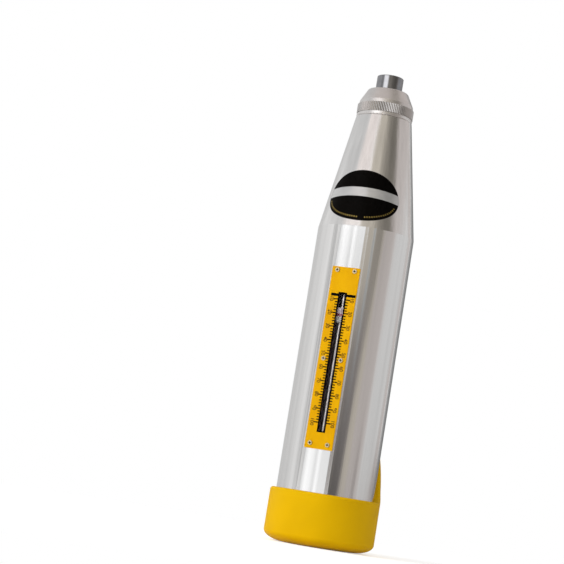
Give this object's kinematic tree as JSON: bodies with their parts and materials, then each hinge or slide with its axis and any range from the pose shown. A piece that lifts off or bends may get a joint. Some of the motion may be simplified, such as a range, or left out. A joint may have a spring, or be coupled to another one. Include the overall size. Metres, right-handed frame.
{
  "type": "rebound hammer",
  "caption": "Hand-held spring rebound hammer: a mass strikes a domed plunger, and a sliding pointer shows its rebound on a linear scale.",
  "frame": {"origin": "on the axis of the case, at the rubber boot's flat foot", "axes": "+Z along the axis towards the plunger's tip, -Y out of the scale plate, +Y out of the lock button"},
  "size_m": [0.061, 0.064, 0.2673],
  "materials": {
    "satin_aluminium": "satin turned",
    "steel": "turned",
    "polished_steel": "ground and polished",
    "spring_steel": "oiled wire",
    "nickel": "nickel plated",
    "pointer_enamel": "white enamel with a red line",
    "yellow_plate": "printed enamel",
    "clear_plastic": "clear",
    "yellow_rubber": "smooth moulded",
    "black_print": "printed black",
    "felt": "felt"
  },
  "bodies": {
    "case": {"housing": "satin_aluminium", "front_cap": "satin_aluminium", "felt_seal": "felt", "spring_seat": "steel", "retaining_half_rings": "steel", "impact_spring": "spring_steel", "return_spring": "spring_steel", "tail_cover": "satin_aluminium", "zero_screw": "steel", "zero_lock_nut": "steel", "pointer_shaft": "polished_steel", "scale_plate": "yellow_plate", "scale_window": "clear_plastic", "scale_screws": "nickel", "button_bush": "nickel", "button_spring": "spring_steel", "rubber_boot": "yellow_rubber", "name_label": "black_print"},
    "carriage": {"guide_rod": "polished_steel", "guide_flange": "steel", "hook_pin": "steel", "hook_spring": "spring_steel", "buffer_spring": "spring_steel"},
    "striker": {"plunger": "polished_steel"},
    "catch": {"hook": "steel"},
    "hammer": {"hammer_mass": "steel"},
    "pointer": {"pointer_block": "pointer_enamel", "pointer_leaf": "spring_steel"},
    "button": {"lock_button": "polished_steel"}
  },
  "joints": [
    {"name": "carriage_slide", "type": "slide", "parent": "case", "child": "carriage", "axis": [0, 0, 1], "range_m": [0, 0.075], "deforming": ["return_spring"]},
    {"name": "plunger_buffer", "type": "slide", "parent": "carriage", "child": "striker", "axis": [0, 0, -1], "range_m": [0, 0.003], "stiffness_N_per_m": 1500, "springref_m": -0.002, "deforming": ["buffer_spring"]},
    {"name": "hook_swing", "type": "hinge", "parent": "carriage", "child": "catch", "pos_m": [0.0114, 0, 0.0455], "axis": [0, 1, 0], "range_deg": [0, 14], "stiffness_Nm_per_rad": 0.02, "springref_deg": -8.59},
    {"name": "hammer_slide", "type": "slide", "parent": "case", "child": "hammer", "axis": [0, 0, -1], "range_m": [0, 0.075], "stiffness_N_per_m": 261, "springref_m": -0.006, "deforming": ["impact_spring"]},
    {"name": "pointer_slide", "type": "slide", "parent": "case", "child": "pointer", "axis": [0, 0, -1], "range_m": [-0.01575, 0.05925]},
    {"name": "button_press", "type": "slide", "parent": "case", "child": "button", "axis": [0, -1, 0], "range_m": [0, 0.0025], "stiffness_N_per_m": 800, "springref_m": -0.001}
  ]
}
